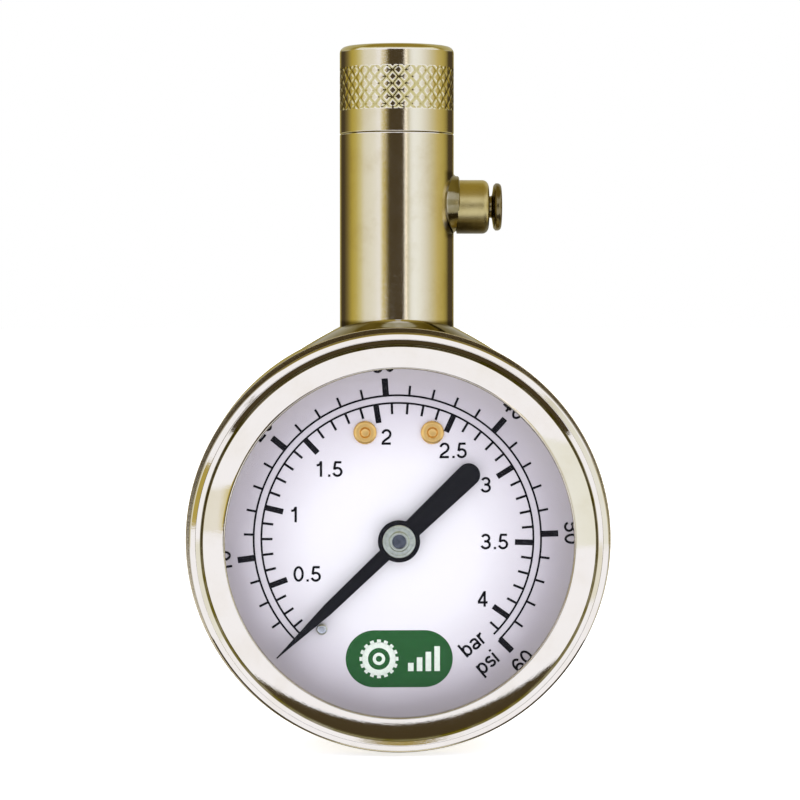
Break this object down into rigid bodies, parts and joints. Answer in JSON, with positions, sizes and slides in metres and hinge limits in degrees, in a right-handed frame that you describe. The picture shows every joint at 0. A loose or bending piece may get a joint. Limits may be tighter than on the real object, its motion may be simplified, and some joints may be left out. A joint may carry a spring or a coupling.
{
  "type": "dial tyre pressure gauge",
  "caption": "Pocket dial tyre pressure gauge: round brass case with Bourdon-tube movement, upright stem with push-on valve chuck and a side bleed button.",
  "frame": {"origin": "centre of the chuck's mouth, where the tyre's valve goes in", "axes": "+Z along the stem and out of the chuck's mouth, the dial faces -Y, the bleed button points to +X"},
  "size_m": [0.046, 0.0183, 0.0766],
  "materials": {
    "brass": "satin turned brass, slightly tarnished",
    "movement_brass": "bright milled brass",
    "tube_bronze": "drawn phosphor bronze",
    "rivet_brass": "polished",
    "steel": "ground steel",
    "bushing_aluminium": "turned aluminium",
    "rubber": "matt",
    "clear_lens": "clear polished",
    "white_plastic": "matt moulded",
    "dial_paint": "white baked enamel with printed scales",
    "pointer_paint": "matt black paint"
  },
  "bodies": {
    "gauge_body": {"case": "brass", "bezel": "brass", "lens": "clear_lens", "lens_gasket": "rubber", "lens_spacer": "white_plastic", "dial": "dial_paint", "dial_rivets": "rivet_brass", "stop_pin": "steel", "stem": "brass", "chuck_cap": "brass", "chuck_seal": "rubber", "core_pin": "brass", "stem_gasket": "rubber", "socket_block": "movement_brass", "bleed_body": "brass", "bleed_spring": "steel", "bourdon_tube": "tube_bronze", "back_plate": "movement_brass", "front_plate": "movement_brass", "pillars": "movement_brass", "plate_screws": "steel", "movement_screws": "steel", "hairspring": "steel", "hairspring_stud": "movement_brass"},
    "bleed_valve": {"bleed_plunger": "brass", "bleed_seal": "rubber", "bleed_retainer": "movement_brass"},
    "sector_assembly": {"sector_gear": "movement_brass", "sector_arbor": "steel", "link_pin_upper": "steel"},
    "pointer_shaft": {"pointer": "pointer_paint", "pointer_bushing": "bushing_aluminium", "pinion_arbor": "steel", "hairspring_collet": "movement_brass"},
    "connecting_link": {"link": "movement_brass"},
    "tube_end": {"tube_tip": "movement_brass", "link_pin_lower": "steel"}
  },
  "joints": [
    {"name": "bleed_press", "type": "slide", "parent": "gauge_body", "child": "bleed_valve", "axis": [-1, 0, 0], "range_m": [0, 0.00045], "stiffness_N_per_m": 800, "springref_m": -0.001, "deforming": ["bleed_spring"]},
    {"name": "sector_swing", "type": "hinge", "parent": "gauge_body", "child": "sector_assembly", "pos_m": [-0.00864, 0, -0.0536], "axis": [0, -1, 0], "range_deg": [0, 33.6], "stiffness_Nm_per_rad": 0.00002},
    {"name": "pointer_spin", "type": "hinge", "parent": "gauge_body", "child": "pointer_shaft", "pos_m": [0, 0, -0.0536], "axis": [0, 1, 0], "range_deg": [0, 268.8], "deforming": ["hairspring"]},
    {"name": "link_pivot", "type": "hinge", "parent": "sector_assembly", "child": "connecting_link", "pos_m": [-0.01189, 0, -0.05262], "axis": [0, -1, 0], "range_deg": [-33.6, 0]},
    {"name": "tube_tip_flex", "type": "hinge", "parent": "gauge_body", "child": "tube_end", "pos_m": [0.0058, 0, -0.0593], "axis": [0, -1, 0], "range_deg": [0, 6.5], "deforming": ["bourdon_tube"]}
  ],
  "couplings": [
    {"joint": "pointer_spin", "follows": "sector_swing", "ratio": 8},
    {"joint": "link_pivot", "follows": "sector_swing", "ratio": -0.9533},
    {"joint": "tube_tip_flex", "follows": "sector_swing", "ratio": 0.1876}
  ]
}
